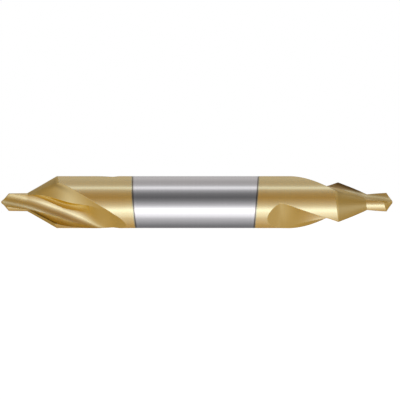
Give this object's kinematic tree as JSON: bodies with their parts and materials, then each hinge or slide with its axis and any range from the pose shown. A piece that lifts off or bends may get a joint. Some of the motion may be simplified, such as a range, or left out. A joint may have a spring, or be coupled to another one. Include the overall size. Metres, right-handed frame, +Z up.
{
  "type": "centre drill",
  "caption": "Double-ended 60 degree centre drill on a 6 mm shank, 45 mm long, with gold-coated right-hand fluted ends and a bare steel middle.",
  "frame": {"origin": "centre of the bar, on its axis, halfway between the two tips", "axes": "+X along the bar's axis towards the right tip, +Z up, -Y towards the viewer of the reference view"},
  "size_m": [0.045, 0.006, 0.006],
  "materials": {
    "coated_steel": "ground high speed steel, gold hard coating on both fluted ends, bare between them"
  },
  "bodies": {
    "root": {"centre_drill": "coated_steel"}
  },
  "joints": []
}
